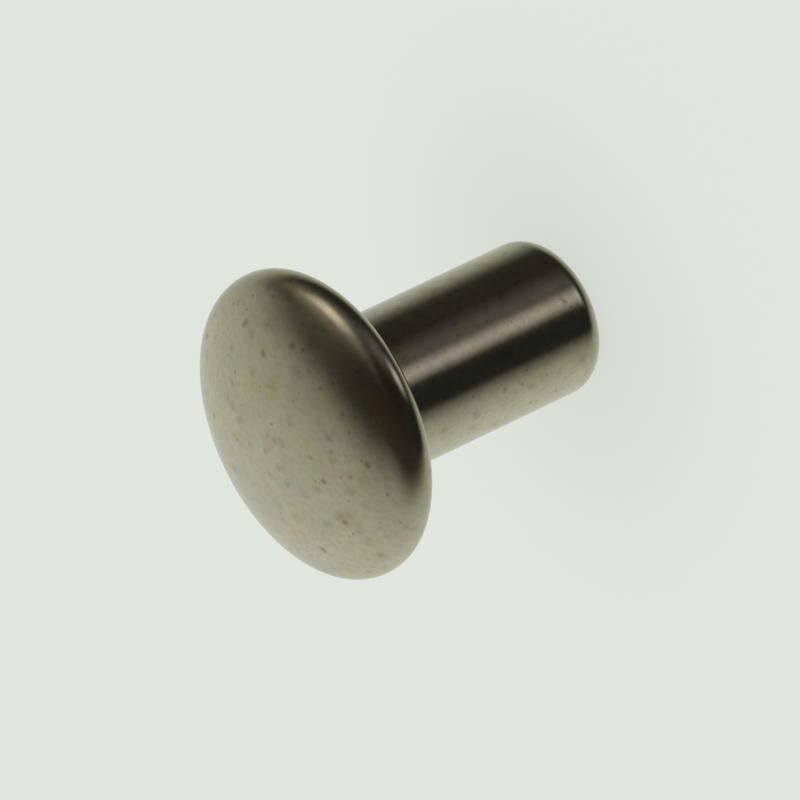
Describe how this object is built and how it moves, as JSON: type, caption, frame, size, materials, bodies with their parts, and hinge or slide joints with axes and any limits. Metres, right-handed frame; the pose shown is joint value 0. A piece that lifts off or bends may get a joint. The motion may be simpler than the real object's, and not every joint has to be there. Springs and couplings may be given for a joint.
{
  "type": "rivet",
  "caption": "Solid nickel-plated rivet with a low mushroom head, a straight round shank and a rounded end edge, set through a hole to join sheets, straps or panels.",
  "frame": {"origin": "centre of the flat end of the shank, on the surface that the rivet stands on", "axes": "+Z along the rivet's axis, from the shank's end up to the head"},
  "size_m": [0.008, 0.008, 0.0091],
  "materials": {
    "nickel_plate": "bright nickel plate, barrel polished, lightly pitted and tarnished"
  },
  "bodies": {
    "root": {"rivet": "nickel_plate"}
  },
  "joints": []
}
